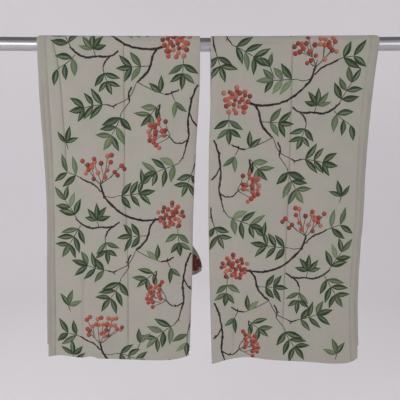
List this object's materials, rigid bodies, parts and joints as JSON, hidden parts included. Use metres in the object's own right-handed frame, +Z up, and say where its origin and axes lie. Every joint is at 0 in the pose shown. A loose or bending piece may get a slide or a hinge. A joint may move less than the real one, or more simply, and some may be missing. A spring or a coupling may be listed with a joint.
{
  "type": "curtain panel pair with rod",
  "caption": "Two printed linen curtain panels, each folded lengthwise into a narrow stack and laid over a plain round metal rod with uneven front and back flaps.",
  "frame": {"origin": "centre of the rod's left end face, seen from the front", "axes": "+X along the rod to its right end, the front of the cloth faces -Y, +Z up"},
  "size_m": [0.82, 0.043, 0.6481],
  "materials": {
    "printed_linen": "matt plain weave",
    "rod_metal": "polished"
  },
  "bodies": {
    "root": {"curtain_left": "printed_linen", "curtain_right": "printed_linen", "rod": "rod_metal"}
  },
  "joints": []
}
